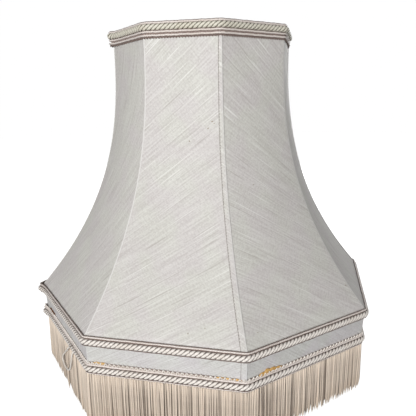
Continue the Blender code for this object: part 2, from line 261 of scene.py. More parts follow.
def tubes(name, lines, radius, count, outward, wrap=False, tone=None, toneRound=None, run=None):
    # Round tubes along lines shaped (pieces, points, 3); outward steadies their sides.
    # toneRound is the tone round a tube instead of along it, and run the UV length at each point.
    lines = np.asarray(lines, float)
    if lines.ndim == 2:
        lines = lines[None]
    ahead = unit(np.roll(lines, -1, 1) - np.roll(lines, 1, 1) if wrap else np.gradient(lines, axis=1))
    outward = np.broadcast_to(outward, lines.shape)
    first = unit(outward - (outward * ahead).sum(-1, keepdims=True) * ahead)
    second = np.cross(ahead, first)
    turn = np.arange(count) * 2 * math.pi / count
    radius = np.broadcast_to(np.asarray(radius, float), lines.shape[:2])[..., None, None]
    ring = first[:, :, None] * np.cos(turn)[:, None] + second[:, :, None] * np.sin(turn)[:, None]
    points = lines[:, :, None] + ring * radius
    if run is None:
        run = np.append(0, np.cumsum(np.linalg.norm(np.diff(lines[0], axis=0), axis=-1)))
    uv = paddedUv(run, np.arange(count) / count * 2 * math.pi * float(radius.max()))
    tone = np.asarray(tone, float)[..., None] if toneRound is None else toneRound
    return gridMesh(name, points, wrap, True, uv[None], np.broadcast_to(tone, points.shape[:3]))


# material helpers
def screen(*colour):
    # A colour as a screen shows it, 0 to 255, as Blender's linear one.
    shares = [value / 255 for value in colour]
    return (*(s / 12.92 if s <= 0.04045 else ((s + 0.055) / 1.055) ** 2.4 for s in shares), 1)


def put(socket, value):
    # Joins a socket to another, or sets it. Three numbers are a colour as a screen shows it.
    if isinstance(value, bpy.types.NodeSocket):
        socket.id_data.links.new(value, socket)
    else:
        socket.default_value = screen(*value) if isinstance(value, tuple) else value


def node(kind, inputs, **settings):
    # A node in the tree of the sockets that feed it; gives its outputs.
    tree = next(value.id_data for value in inputs.values() if isinstance(value, bpy.types.NodeSocket))
    made = tree.nodes.new(kind)
    for key, value in settings.items():
        setattr(made, key, value)
    for key, value in inputs.items():
        put(made.inputs[key], value)
    return made.outputs


def newMaterial(name, roughness, specular, sheen=(0.0, 0.5), **fixed):
    # A material and its shader, with these sockets set on it directly; sheen is (weight, roughness).
    material = bpy.data.materials.new(name)
    material.use_nodes = True
    shader = material.node_tree.nodes["Principled BSDF"]
    fixed.update({"Roughness": roughness, "Specular IOR Level": specular,
                  "Sheen Weight": sheen[0], "Sheen Roughness": sheen[1]})
    for socket, value in fixed.items():
        shader.inputs[socket].default_value = value
    return material, shader


def maths(operation, *values, clamp=False):
    return node("ShaderNodeMath", dict(enumerate(values)), operation=operation, use_clamp=clamp)[0]


def plus(one, two, clamp=False):
    return maths("ADD", one, two, clamp=clamp)


def times(one, two, clamp=False):
    return maths("MULTIPLY", one, two, clamp=clamp)


def waves(value, every):
    return maths("SINE", times(value, 2 * math.pi / every))


def blend(factor, one, two, kind="MIX"):
    return node("ShaderNodeMix", {0: factor, 6: one, 7: two}, data_type="RGBA", blend_type=kind)[2]


def ramp(value, low, high):
    # 0 at low, 1 at high, smooth between.
    return node("ShaderNodeMapRange", {0: value, 1: low, 2: high}, interpolation_type="SMOOTHSTEP")[0]


def stretchedNoise(x, y, xScale, yScale, detail=2.0, rough=0.5, shift=0.0):
    place = node("ShaderNodeCombineXYZ", {0: times(x, xScale), 1: times(y, yScale), 2: shift})[0]
    return node("ShaderNodeTexNoise", {"Vector": place, "Scale": 1.0, "Detail": detail,
                                       "Roughness": rough})[0]


def solidNoise(shader, scale, detail=2.0):
    place = shader.id_data.nodes.new("ShaderNodeTexCoord").outputs["Object"]
    return node("ShaderNodeTexNoise", {"Vector": place, "Scale": scale, "Detail": detail})[0]


def uvParts(shader):
    where = shader.id_data.nodes.new("ShaderNodeUVMap")
    where.uv_map = "UVMap"
    parts = node("ShaderNodeSeparateXYZ", {0: where.outputs[0]})
    return parts[0], parts[1]


def toneOf(shader):
    made = shader.id_data.nodes.new("ShaderNodeAttribute")
    made.attribute_name = "tone"
    return made.outputs["Fac"]


def dress(shader, colour, height, strength, distance):
    # Gives the shader its colour and its relief.
    put(shader.inputs["Base Color"], colour)
    relief = node("ShaderNodeBump", {"Height": height, "Strength": strength, "Distance": distance})[0]
    put(shader.inputs["Normal"], relief)


# materials
# crease is the colour of a painted highlight along the corners, and shadow the colour of a painted shadow
# at a lap's folded edge
silkLook = {"thread": 0.00046, "pale": (227, 226, 221), "dark": (192, 188, 183), "slub": (246, 245, 241),
            "gap": (162, 154, 146), "warm": (212, 211, 201), "cool": (210, 201, 202),
            "creaseHighlight": (240, 238, 235), "shadow": (112, 99, 90)}


def makeSilk(name, dim=(0, 0, 0)):
    # Slubbed silk: u runs along the thick threads and v counts them, in metres.
    look = {key: tuple(channel - less for channel, less in zip(value, dim))
            for key, value in silkLook.items() if key != "thread"}
    material, shader = newMaterial(name, 0.52, 0.35, (0.30, 0.35), Anisotropic=0.4)
    shader.inputs["Sheen Tint"].default_value = (1, 0.99, 0.97, 1)
    u, v = uvParts(shader)
    fine = stretchedNoise(v, u, 700, 26, 1.0, 0.6)
    broad = stretchedNoise(v, u, 330, 10, 1.0, 0.5, 3.7)
    slub = stretchedNoise(v, u, 900, 14, 0.0, 0.5, 9.1)
    gap = stretchedNoise(v, u, 700, 20, 0.0, 0.5, 15.3)
    crossed = stretchedNoise(v, u, 150, 720, 1.0, 0.6, 31.0)
    mottle = stretchedNoise(v, u, 640, 560, 0.0, 0.5, 41.0)
    patchy = stretchedNoise(u, v, 34, 26, 1.0, 0.5, 21.0)
    streak = plus(times(fine, 0.72), times(broad, 0.28))
    weft = plus(times(crossed, 0.5), times(mottle, 0.5))
    light = plus(times(streak, 0.53), times(weft, 0.47))
    tint = blend(ramp(patchy, 0.35, 0.65), look["warm"], look["cool"])
    shade = blend(0.35, blend(ramp(light, 0.34, 0.66), look["dark"], look["pale"]), tint)
    shade = blend(times(ramp(slub, 0.72, 0.80), 0.62), shade, look["slub"])
    shade = blend(times(ramp(gap, 0.73, 0.82), 0.4), shade, look["gap"])
    paintedShadeHighlight = toneOf(shader)          # painted light: 0.5 plain cloth, 1 a painted highlight along a corner, 0 a painted shadow along a fold's edge
    # painted highlight along the corners of the shade
    shade = blend(ramp(paintedShadeHighlight, 0.52, 1.0), shade, look["creaseHighlight"])
    # painted shadow along the folded edge of a lap, broken up by the fine streaks
    paintedFoldShadow = times(ramp(paintedShadeHighlight, 0.48, 0.0), plus(fine, 0.35), clamp=True)
    shade = blend(paintedFoldShadow, shade, look["shadow"])
    weave = times(times(waves(u, silkLook["thread"]), waves(v, silkLook["thread"])), 0.12)
    dress(shader, shade, plus(plus(light, times(slub, 0.6)), weave), 0.45, 0.00016)
    put(shader.inputs["Roughness"], maths("SUBTRACT", 0.62, times(light, 0.22)))
    return material


def makeThread(name, pale, dark, turns, along, roughness=0.42, depth=0.5, grime=0.0):
    # Lustrous yarn: fine fibres laid at a slant over the surface, darker where tone is low. The tone holds
    # painted shade in the cords' grooves, at the loops' roots and on the fringe's back and gap strands,
    # along with the fringe's own random tone; depth is how much it counts.
    material, shader = newMaterial(name, roughness, 0.5, (0.25, 0.4), Anisotropic=0.3)
    u, v = uvParts(shader)
    fibre = maths("SINE", plus(times(u, turns), times(v, along)))
    loose = stretchedNoise(u, v, 2600, 160, 2.0, 0.6)
    uneven = stretchedNoise(u, v, 30, 26, 2.0, 0.5, 5.0)
    level = plus(times(fibre, 0.14), times(loose, 0.7))
    lift = times(ramp(level, 0.15, 0.60), 1 - depth)
    shade = blend(plus(lift, times(toneOf(shader), depth), clamp=True), dark, pale)
    shade = blend(times(ramp(uneven, 0.45, 0.8), 0.25 + grime), shade, (198, 178, 150), "MULTIPLY")
    dress(shader, shade, plus(times(fibre, 0.5), loose), 0.6, 0.00012)
    return material


def makeGimp(name, pale, dark):
    # The flat woven band: fine threads wound across it.
    material, shader = newMaterial(name, 0.7, 0.3, (0.2, 0.5))
    u, v = uvParts(shader)
    level = plus(times(waves(v, 0.0008), 0.22), stretchedNoise(u, v, 900, 700, 2.0, 0.6))
    shade = blend(ramp(level, 0.3, 0.75), dark, pale)
    dress(shader, shade, plus(level, times(waves(u, 0.0016), 0.2)), 0.7, 0.0002)
    return material


def makeLining(name):
    material, shader = newMaterial(name, 0.6, 0.35, (0.3, 0.4))
    u, v = uvParts(shader)
    threads = stretchedNoise(u, v, 2200, 120, 2.0, 0.6)
    cloudy = stretchedNoise(u, v, 16, 11, 2.0, 0.5, 8.0)
    shade = blend(ramp(threads, 0.3, 0.7), (226, 220, 209), (240, 236, 228))
    shade = blend(times(ramp(cloudy, 0.4, 0.8), 0.4), shade, (219, 205, 183))
    weave = times(times(waves(u, 0.0005), waves(v, 0.0005)), 0.2)
    dress(shader, shade, plus(threads, weave), 0.4, 0.0001)
    return material


def makeMetal(name, pale, dark, roughness):
    # Drawn or pressed steel with die lines, dull patches and a little rust.
    material, shader = newMaterial(name, roughness, 0.5, Metallic=1.0)
    lines = solidNoise(shader, 900.0, 3.0)
    dull = solidNoise(shader, 70.0, 4.0)
    shade = blend(ramp(dull, 0.35, 0.7), pale, dark)
    shade = blend(times(ramp(dull, 0.62, 0.74), 0.35), shade, (122, 84, 58))
    dress(shader, shade, lines, 0.25, 0.0001)
    put(shader.inputs["Roughness"], plus(times(lines, 0.2), roughness - 0.08))
    return material


def makeTape(name):
    material, shader = newMaterial(name, 0.85, 0.25, (0.2, 0.5))
    weave = solidNoise(shader, 1600.0)
    dress(shader, blend(ramp(weave, 0.3, 0.7), (196, 187, 171), (222, 215, 201)), weave, 0.4, 0.0001)
    return material


def makeGlue(name, one, two):
    # Aged glue and small stains, cloudy between two colours.
    material, shader = newMaterial(name, 0.45, 0.4)
    cloudy = solidNoise(shader, 500.0, 3.0)
    dress(shader, blend(ramp(cloudy, 0.3, 0.7), one, two), cloudy, 0.3, 0.0002)
    return material


looks = {
    "silk": makeSilk("bellSilk"),
    # the skirt's silk is the bell silk a few levels darker, a painted shade
    "skirtSilk": makeSilk("skirtSilk", (5, 4, 1)),
    "lining": makeLining("liningCloth"),
    "gimp": makeGimp("gimpBand", (176, 158, 150), (106, 90, 84)),
    # the dark colours of the cords are painted shade, laid into the grooves between plies by tone
    "topCord": makeThread("topCordYarn", (241, 236, 220), (80, 74, 56), 2500, 1800, 0.38, 0.74),
    "cord": makeThread("cordYarn", (255, 248, 240), (80, 64, 58), 2500, 1800, 0.4, 0.76),
    "thin": makeThread("thinCordYarn", (254, 246, 240), (190, 174, 165), 3800, 2600, 0.45, 0.45),
    "loop": makeThread("loopYarn", (255, 252, 246), (190, 176, 164), 3800, 2600, 0.5, 0.3),
    # dark yarn for the looped edges and the dark threads, dark partly as the braid's own colour and partly
    # as painted shade for the shadowed lines along the cords
    "darkLoop": makeThread("darkLoopYarn", (140, 120, 112), (84, 68, 60), 3800, 2600, 0.6, 0.3),
    # the strands' dark colour is painted shade for the gaps between clumps and the rows behind
    "strand": makeThread("strandYarn", (244, 228, 210), (64, 45, 31), 5200, 3000, 0.42, 0.80, 0.05),
    "steel": makeMetal("wireSteel", (190, 188, 184), (132, 128, 122), 0.34),
    "pressed": makeMetal("pressedSteel", (204, 201, 196), (150, 146, 140), 0.3),
    "tape": makeTape("cottonTape"),
    "glue": makeGlue("amberGlue", (196, 146, 74), (226, 188, 124)),
    "oldGlue": makeGlue("brownGlue", (92, 58, 38), (128, 88, 60)),
    "speck": makeGlue("brownSpeck", (128, 112, 92), (168, 154, 134)),
    "stitch": makeThread("stitchThread", (150, 134, 122), (88, 74, 66), 9000, 6000, 0.6, 0.2),
}
print("materials made:", len(looks))


def finishPiece(obj, look, slotName, *nodes, body="shade"):
    obj.data.materials.append(looks[look])
    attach(obj, body)
    if nodes:
        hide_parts(*nodes)
    return obj


# cloth
cloth = {"out": 0.0031, "thick": 0.0005, "rows": 84, "inner": 22, "lowest": 0.0036,
         "underFold": 0.0006, "shift": 0.37,
         "simRows": 40, "simCols": 14, "simFrames": 14, "mostBulge": 0.0050}
# the last entry is how wide the painted highlight along each corner spreads
ridge = {"radius": 0.0031, "near": (0.0, 0.0004, 0.0008, 0.0013, 0.0028, 0.0055), "creaseHighlightWidth": 0.0009}


def panelPoints(rowFlat, rowZ, first, spots, push=0.0, lean=0.0):
    # Points of two flat sides between corners; spots run 0 to 2 and may differ by row.
    rowFlat, rowZ, spots = np.asarray(rowFlat)[:, None], np.asarray(rowZ)[:, None], np.asarray(spots)
    side = np.where(spots > 1, 1, 0)
    share = spots - side
    startTurn = cornerAngle(first) + side * sideTurn
    radius = rowFlat / flat
    x = radius * (np.cos(startTurn) * (1 - share) + np.cos(startTurn + sideTurn) * share)
    y = radius * (np.sin(startTurn) * (1 - share) + np.sin(startTurn + sideTurn) * share)
    facing = startTurn + sideTurn / 2
    level = 1 / np.hypot(1, lean)
    x = x + push * np.cos(facing) * level
    y = y + push * np.sin(facing) * level
    z = rowZ + 0 * x - push * lean * level
    return np.stack([x, y, z], -1)


def stretchBell():
    # Lays one quarter of silk on its struts, pulls it tight, and returns how far it bows out.
    rows, cols = cloth["simRows"], 2 * cloth["simCols"] + 1
    heights = np.linspace(bellTall, 0, rows)
    spots = np.broadcast_to(np.linspace(0, 2, cols), (rows, cols))
    rowFlat, rowZ = onBell(heights, cloth["out"])
    rest = panelPoints(rowFlat, rowZ, 0, spots)
    obj = gridMesh("simQuarter", rest)
    held = [r * cols + c for r in range(rows) for c in range(cols)
            if r in (0, rows - 1) or c in (0, cloth["simCols"], cols - 1)]
    group = obj.vertex_groups.new(name="held")
    group.add(held, 1.0, "REPLACE")
    settings = obj.modifiers.new("Cloth", "CLOTH").settings
    settings.vertex_group_mass = "held"
    settings.quality = 8
    settings.mass = 0.05
    settings.tension_stiffness = settings.compression_stiffness = 12
    settings.shear_stiffness = 6
    settings.bending_stiffness = 0.05
    settings.shrink_min = 0.03
    settings.air_damping = 2
    settings.effector_weights.gravity = 0.0
    for number in range(1, cloth["simFrames"] + 1):
        scene.frame_set(number)
    shaped = obj.evaluated_get(bpy.context.evaluated_depsgraph_get()).to_mesh()
    points = np.empty(len(shaped.vertices) * 3, np.float32)
    shaped.vertices.foreach_get("co", points)
    moved = points.reshape(rows, cols, 3).astype(float) - rest
    scene.frame_set(1)
    bpy.data.objects.remove(obj, do_unlink=True)
    lean = ribLean(heights)[:, None]
    facing = cornerAngle(0) + sideTurn / 2 + np.where(spots > 1, sideTurn, 0)
    bow = (moved[..., 0] * np.cos(facing) + moved[..., 1] * np.sin(facing) - moved[..., 2] * lean)
    bow = bow / np.hypot(1, lean)
    bow = (bow + bow[:, ::-1]) / 2
    return heights[::-1], np.clip(bow, -cloth["mostBulge"], cloth["mostBulge"])[::-1]


bowHeights, bowTable = stretchBell()
print("cloth pulled tight, bows out up to %.2f mm" % (1000 * bowTable.max()))


def bowAt(heights, spots):
    # How far the silk bows out at heights over the bell ring, and spots 0 to 2 across a quarter.
    heights = np.broadcast_to(np.asarray(heights, float)[:, None], spots.shape)
    tall, wide = bowTable.shape
    row = np.interp(heights, bowHeights, np.arange(tall))
    col = np.interp(spots, np.linspace(0, 2, wide), np.arange(wide))
    low = np.clip(np.floor(row).astype(int), 0, tall - 2)
    left = np.clip(np.floor(col).astype(int), 0, wide - 2)
    part, side = row - low, col - left
    upper = bowTable[low, left] * (1 - side) + bowTable[low, left + 1] * side
    lower = bowTable[low + 1, left] * (1 - side) + bowTable[low + 1, left + 1] * side
    inside = (heights > 0) & (heights < bellTall)
    return np.where(inside, upper * (1 - part) + lower * part, 0)


def columnSpots(rowFlat, inner):
    # Columns across a quarter: close together along the corners, even between them.
    near = np.array(ridge["near"])[None] / sideWidth(rowFlat)[:, None]
    lastNear = near[:, -1:]
    even = lastNear + (1 - 2 * lastNear) * np.linspace(0, 1, inner + 2)[None, 1:-1]
    one = np.concatenate([near, even, 1 - near[:, ::-1]], 1)
    return np.concatenate([one[:, :-1], 1 + one], 1)


def ridgeEase(rowFlat, spots, radius):
    # Eases the sharp corners of the panels to the round of the wire beneath.
    away = np.minimum(np.abs(spots - np.round(spots)), 1) * sideWidth(rowFlat)[:, None]
    reach = radius * math.tan(sideTurn / 2)
    return -radius * (1 / flat - 1) * np.clip(1 - away / reach, 0, 1) ** 2


# slant of the thick threads on each side of the shade, in degrees from level at heights in metres;
# the first side is the one in front, and they count up to the right
threadHeights = (0.0, 0.05, 0.10, 0.20, 0.30)
threadSlant = ((28, 32.5, 37.5, 39, 44.5), (-36, -34.5, -35, -40, -43), (-56, -55, -56, -60, -66),
               (42, 41, 40, 41, 42), (58, 56, 57, 62, 70), (-33, -37, -40, -42, -44),
               (-42, -41, -41, -42, -44), (62, 58, 60, 67, 80))


def threadUv(side, heights, down, across, shift):
    # UVs in metres for one side: u along the thick threads, v across them.
    slant = np.radians(np.interp(heights, threadHeights, threadSlant[side % sides]))
    middle = math.radians(threadSlant[side % sides][2])
    rate = math.sin(middle) / np.tan(slant)
    step = np.append(0, np.diff(down))
    climb = np.cumsum(step * (rate + np.append(rate[0], rate[:-1])) / 2)
    crossing = climb[:, None] - across * math.sin(middle)
    along = down[:, None] * math.sin(middle) + across * math.cos(middle)
    uv = np.stack([along + shift, crossing + 3.7 * shift], -1)
    uv = np.concatenate([uv, uv[-1:]], 0)
    return np.concatenate([uv, uv[:, -1:]], 1)[None]


def clothQuarter(name, rows, first, inner, bow, creaseHighlight, shift):
    # Two sides of cloth between corners, pulled over the struts.
    rowFlat, rowZ, heights = rows
    spots = columnSpots(rowFlat, inner)
    push = ridgeEase(rowFlat, spots, ridge["radius"]) + bow * bowAt(heights, spots)
    points = panelPoints(rowFlat, rowZ, first, spots, push, clothLean(heights))
    length = runLength(rowFlat, rowZ)
    width = sideWidth(rowFlat)[:, None]
    left = threadUv(first - 1, heights, -length, (spots - 0.5) * width, shift)
    right = threadUv(first, heights, -length, (spots - 1.5) * width, shift + 0.3)
    # painted highlight along the corner between the two sides; the crease argument sets its strength
    paintedShadeHighlight = 0.5 + creaseHighlight * 0.5 * np.exp(-(np.abs(spots - 1) * width / ridge["creaseHighlightWidth"]) ** 2)
    return gridMesh(name, points, uv=left, tone=paintedShadeHighlight[None], uvBeyond=right)


def roundWire(ringFlat, ringZ, out, degrees):
    turn = np.radians(np.asarray(degrees, float))
    return ringFlat + out * np.cos(turn), ringZ + out * np.sin(turn)


def bellRows(out, top, foldOut):
    # Rows from the top ring's rounding to the fold, as (flat distance, z, height).
    topRow, topRowZ = roundWire(topFlat, topZ, abs(out), top)
    heights = np.linspace(bellTall, cloth["lowest"], cloth["rows"])
    bell, bellRowZ = onBell(heights, out)
    foldZ = [bellZ + foldRise(out)] + ([] if foldOut is None else [bellZ + foldOut])
    return (np.concatenate([topRow, bell, [bellFlat + out] * len(foldZ)]),
            np.concatenate([topRowZ, bellRowZ, foldZ]),
            np.concatenate([np.full(len(topRow), bellTall), heights, np.zeros(len(foldZ))]))


def skirtRows(out, firstDrop, count, under, wrapOut):
    # Rows down the skirt and round its ring; under lists the angles round the wire.
    band, bandZ = onSkirt(np.linspace(firstDrop, skirtTall, count), out)
    low, lowZ = roundWire(skirtFlat, skirtZ, wrapOut, under)
    return np.append(band, low), np.append(bandZ, lowZ), np.zeros(count + len(under))


def thicken(obj, amount):
    # Gives the cloth its thickness, inwards.
    solid = obj.modifiers.new("Cloth thickness", "SOLIDIFY")
    solid.thickness = amount
    solid.offset = -1
    solid.use_even_offset = True


seamCorners = (2, 4, 6, 8)
for number, corner in enumerate(seamCorners, 1):
    shift = cloth["shift"] * number
    rows = bellRows(cloth["out"], (100, 67, 33), -0.0004)
    piece = clothQuarter(f"silk_bell_{number}", rows, corner, cloth["inner"], 1.0, 0.8, shift)
    thicken(piece, cloth["thick"])
    finishPiece(piece, "silk", "cover_silk", f"cover_{number}")
    rows = skirtRows(cloth["out"], cloth["underFold"], 10, (-25, -50, -78), cloth["out"])
    piece = clothQuarter(f"silk_skirt_{number}", rows, corner, cloth["inner"], 0.0, 0.35, shift + 0.11)
    thicken(piece, cloth["thick"])
    finishPiece(piece, "skirtSilk", "skirt_silk", f"skirt_cover_{number}")
print("silk on")

liningCloth = {"out": -0.0026, "wrap": 0.0026, "thick": 0.0003, "rows": 56, "gap": 0.004, "inner": 14,
               "underFold": 0.0015, "shift": 0.23}
for number, corner in enumerate(seamCorners, 1):
    c = liningCloth
    top, topRowZ = roundWire(topFlat, topZ, c["wrap"], (75, 100, 125, 150, 180))
    heights = np.linspace(bellTall - c["gap"], c["gap"], c["rows"])
    bell, bellRowZ = onBell(heights, c["out"])
    band, bandZ, level = skirtRows(c["out"], c["underFold"], 8, (205, 230, 262), c["wrap"])
    rows = (np.concatenate([top, bell, band]), np.concatenate([topRowZ, bellRowZ, bandZ]),
            np.concatenate([np.full(len(top), bellTall), heights, level]))
    piece = clothQuarter(f"lining_cloth_{number}", rows, corner, c["inner"], 0.6, 0.0, c["shift"] * number)
    thicken(piece, c["thick"])
    finishPiece(piece, "lining", "lining_cloth", f"lining_{number}")
print("lining in")

# lapped seams
seam = {"topWidth": 0.0033, "bellWidth": 0.0056, "skirtWidth": 0.0052, "raise": 0.00040, "past": 0.0009,
        "stitchEvery": 0.0028, "stitchLong": 0.0017, "stitchRadius": 0.00016, "stitchIn": 0.0005,
        "stitchProud": 0.00010, "stitchDip": 0.00015}
# each column of a lap: its share of the lap's width, how much further right, its lift and its painted
# light tone, low for a painted shadow at the folded edge and high for a painted highlight near the corner
lapColumns = np.array([(1, -0.0005, -0.5, 0.0), (1, -0.0001, 0.5, 0.06), (1, 0.0003, 1.0, 0.40),
                       (0.8, 0, 1.0, 0.50), (0.55, 0, 1.0, 0.52), (0.25, 0, 1.0, 0.53),
                       (0, -0.0004, 1.0, 0.68), (0, 0, 0.9, 0.76), (0, seam["past"], 0.7, 0.56),
                       (0, seam["past"] + 0.0002, -0.4, 0.5)])


def seamStrip(name, rows, corner, width, shift):
    # The folded edge of the right-hand quarter, lying over the left one along a corner.
    rowFlat, rowZ, heights = rows
    # the last column is the painted shade and highlight tone
    share, extra, lift, paintedShadeHighlight = lapColumns.T
    away = extra[None] - share[None] * np.broadcast_to(width, rowFlat.shape)[:, None]
    spots = 1 + away / sideWidth(rowFlat)[:, None]
    ease = 0.7 * ridgeEase(rowFlat, spots, ridge["radius"])
    push = ease + lift[None] * seam["raise"] + bowAt(heights, spots)
    points = panelPoints(rowFlat, rowZ, corner - 1, spots, push, clothLean(heights))
    uv = threadUv(corner - 1, heights, -runLength(rowFlat, rowZ), away, shift)
    return gridMesh(name, points, uv=uv, tone=np.broadcast_to(paintedShadeHighlight, spots.shape)[None])


def lapWidth(heights):
    return seam["bellWidth"] + (seam["topWidth"] - seam["bellWidth"]) * np.asarray(heights) / bellTall


def stitchLine(rowFlat, rowZ, heights, corner):
    # Points of the stitches that hold a lap down; their ends dip into the cloth.
    length = runLength(rowFlat, rowZ)
    starts = (np.arange(int(length[-1] / seam["stitchEvery"])) + 0.5) * seam["stitchEvery"]
    lines = []
    for part in (-0.5, -0.25, 0, 0.25, 0.5):
        at = starts + part * seam["stitchLong"]
        row, z, tall = (np.interp(at, length, a) for a in (rowFlat, rowZ, heights))
        spots = 1 - ((lapWidth(tall) - seam["stitchIn"]) / sideWidth(row))[:, None]
        hump = seam["raise"] + (seam["stitchProud"] if abs(part) < 0.3 else -seam["stitchDip"])
        push = hump + bowAt(tall, spots)
        lines.append(panelPoints(row, z, corner - 1, spots, push, clothLean(tall))[:, 0])
    return np.stack(lines, 1)


for number, corner in enumerate(seamCorners, 1):
    rows = bellRows(cloth["out"], (88, 60, 30), None)
    strip = seamStrip(f"seam_lap_{number}", rows, corner, lapWidth(rows[2]), cloth["shift"] * number)
    finishPiece(strip, "silk", "cover_silk")
    stitches = stitchLine(*(row[4:-1] for row in rows), corner)
    sewn = tubes(f"seam_stitches_{number}", stitches, seam["stitchRadius"], 5,
                 facingOf(cornerAngle(corner) - sideTurn / 2), tone=0.5)
    finishPiece(sewn, "stitch", "cover_silk")
    rows = (*onSkirt(np.linspace(cloth["underFold"], skirtTall, 6), cloth["out"]), np.zeros(6))
    strip = seamStrip(f"skirt_lap_{number}", rows, corner, seam["skirtWidth"], 0.61 * number)
    finishPiece(strip, "skirtSilk", "skirt_silk")
print("seams lapped")

# braids and cords
cordShape = {"steps": 20, "around": 14, "bend": 0.0080, "thinBend": 0.0035, "bandBend": 0.0020,
             "thinStep": 0.0014, "loopSteps": 14, "loopReach": 0.004, "uvStretch": 1.4,
             "wander": 0.00010, "wobble": 0.00008, "beading": 0.07}


def ringLine(apothem, bend, out, z, count, join):
    spots = np.arange(count) / count
    xy, normal = ringPath(apothem + out, bend + out, spots, join[0])
    tall = z + join[1] * joinShare(apothem, bend, spots)
    return np.concatenate([xy, tall[:, None]], -1), np.append(normal, np.zeros((count, 1)), 1)


def twistedCord(name, look, apothem, out, z, twist, join, *nodes):
    # A rope of separate plies laid round each other, flattened against the braid.
    c = cordShape
    around = ringLength(apothem + out, c["bend"] + out)
    turnsWhole = round(around / (twist["plies"] * twist["pitch"]))
    count = turnsWhole * c["steps"]
    core, normal = ringLine(apothem, c["bend"], out, z, count, join)
    size = twist["plyRadius"]
    swayThick, swayTall = twist["halfThick"] - size, twist["halfTall"] - size
    angle = 2 * math.pi * turnsWhole * np.arange(count) / count
    lines, outward = [], []
    for ply in range(twist["plies"]):
        turn = angle + 2 * math.pi * ply / twist["plies"]
        side = np.cos(turn)[:, None] * normal
        lift = np.sin(turn)[:, None] * np.array([[0, 0, 1.0]])
        lines.append(core + side * swayThick + lift * swayTall)
        outward.append(side / swayThick + lift / swayTall)
    turns = np.arange(c["around"]) * 2 * math.pi / c["around"]
    crest = np.clip((np.cos(turns) - 0.32) / 0.36, 0, 1)     # painted shade: dark in the grooves between plies, pale only where a ply stands proud
    run = np.arange(count) * around / count * c["uvStretch"]
    obj = tubes(name, np.stack(lines), size, c["around"], np.stack(outward), wrap=True,
                toneRound=crest, run=run)
    return finishPiece(obj, look, "twisted_cord", *nodes)


def thinCord(name, look, apothem, out, z, radius, join):
    # A fine round cord with a slight wander, as it is woven into the braid.
    c = cordShape
    bend = c["thinBend"]
    count = int(ringLength(apothem, bend) / c["thinStep"])
    line, outward = ringLine(apothem, bend, out, z, count, join)
    place = np.arange(count) / count * 2 * math.pi
    line[:, 2] += c["wander"] * np.sin(37 * place) + c["wobble"] * np.sin(91 * place + 1)
    beads = radius * (1 + c["beading"] * np.sin(np.arange(count) * 2.1))
    obj = tubes(name, line, beads, 8, outward[None], wrap=True, tone=0.85)
    return finishPiece(obj, look, "gimp_braid")


def loopEdge(name, look, apothem, edge, loop, join):
    # A looped thread along the edge of a braid. edge gives (out, more out, z, more z, power), and
    # the thread moves by the second and fourth of them at the top of a loop.
    reach = cordShape["loopReach"]
    bend = cordShape["thinBend"]
    loops = int(ringLength(apothem + reach, bend + reach) / loop["pitch"])
    place = np.arange(loops * cordShape["loopSteps"]) / cordShape["loopSteps"]
    wave = np.sin(2 * math.pi * place)
    spot = (place + loop["swell"] * wave) / loops % 1
    share = 0.5 - 0.5 * np.cos(2 * math.pi * place)
    out, z = edge[0] + edge[1] * share, bellZ + edge[2] + edge[3] * share ** edge[4]
    reach = float(out.mean())
    base, normal = ringPath(apothem + reach, bend + reach, spot, join[0])
    xy = base + normal * (out - reach + loop["depth"] * wave)[:, None]
    tall = z + join[1] * joinShare(apothem, bend, spot)
    line = np.concatenate([xy, tall[:, None]], -1)
    outward = np.append(normal, np.zeros((len(place), 1)), 1)
    # painted shade: each loop darker at its root by the band, pale at its tip
    obj = tubes(name, line, loop["radius"], 6, outward[None], wrap=True, tone=0.35 + 0.65 * share[None])
    return finishPiece(obj, look, "gimp_braid")


def upright(inside, outside, high, low):
    # Closed section of an upright band, its edges rolled a little.
    edge = (outside - inside) / 2
    middle = (outside + inside) / 2
    return [(inside, high - edge), (middle, high), (outside, high - edge), (outside, (high + low) / 2),
            (outside, low + edge), (middle, low), (inside, low + edge), (inside, (high + low) / 2)]


def makeTrim(name, apothem, trim):
    # The woven band, the twisted cord on it, its thin cords and its looped edges.
    join = trim["join"]
    high, low = (bellZ + height for height in trim["band"])
    band = sweepRing(f"{name}_braid_band", apothem, cordShape["bandBend"],
                     upright(trim["in"], trim["out"], high, low), 0.5, *join)
    finishPiece(band, "gimp", "gimp_braid", f"{name}_braid")
    look, out, height = trim["cord"]
    twistedCord(f"{name}_twisted_cord", look, apothem, out, bellZ + height, trim["twist"], join,
                f"{name}_cord")
    for piece, look, out, height, radius in trim["threads"]:
        thinCord(f"{name}_{piece}", look, apothem, out, bellZ + height, radius, join)
    for piece, look, edge, loop in trim["loops"]:
        loopEdge(f"{name}_{piece}", look, apothem, edge, loop, join)
    print(name, "trim on")


# heights are over the bell ring; threads are (piece, look, out, height, radius), and join is how
# much the trim stands out, and up, where its ends meet; the dark threads and dark looped edges
# stand partly for the braid's own dark lines and partly for painted shade along the cords
topTrim = {"band": (0.2945, 0.2792), "in": 0.0036, "out": 0.0041, "join": (0.0040, 0.0004),
           "cord": ("topCord", 0.0056, 0.2895),
           "twist": {"plies": 3, "pitch": 0.0047, "halfTall": 0.0030, "halfThick": 0.0022,
                     "plyRadius": 0.00148},
           "threads": (("thin_cord_1", "thin", 0.0046, 0.2935, 0.00092),
                       ("thin_cord_2", "thin", 0.0046, 0.2852, 0.00092),
                       ("thin_cord_3", "thin", 0.0046, 0.2818, 0.00092),
                       ("edge_thread", "darkLoop", 0.0041, 0.2947, 0.00035)),
           "loops": (("looped_edge", "darkLoop", (0.0040, 0, 0.2804, -0.0014, 1),
                      {"pitch": 0.0030, "swell": 0.20, "depth": 0.0002, "radius": 0.00045}),)}
makeTrim("top", topFlat, topTrim)

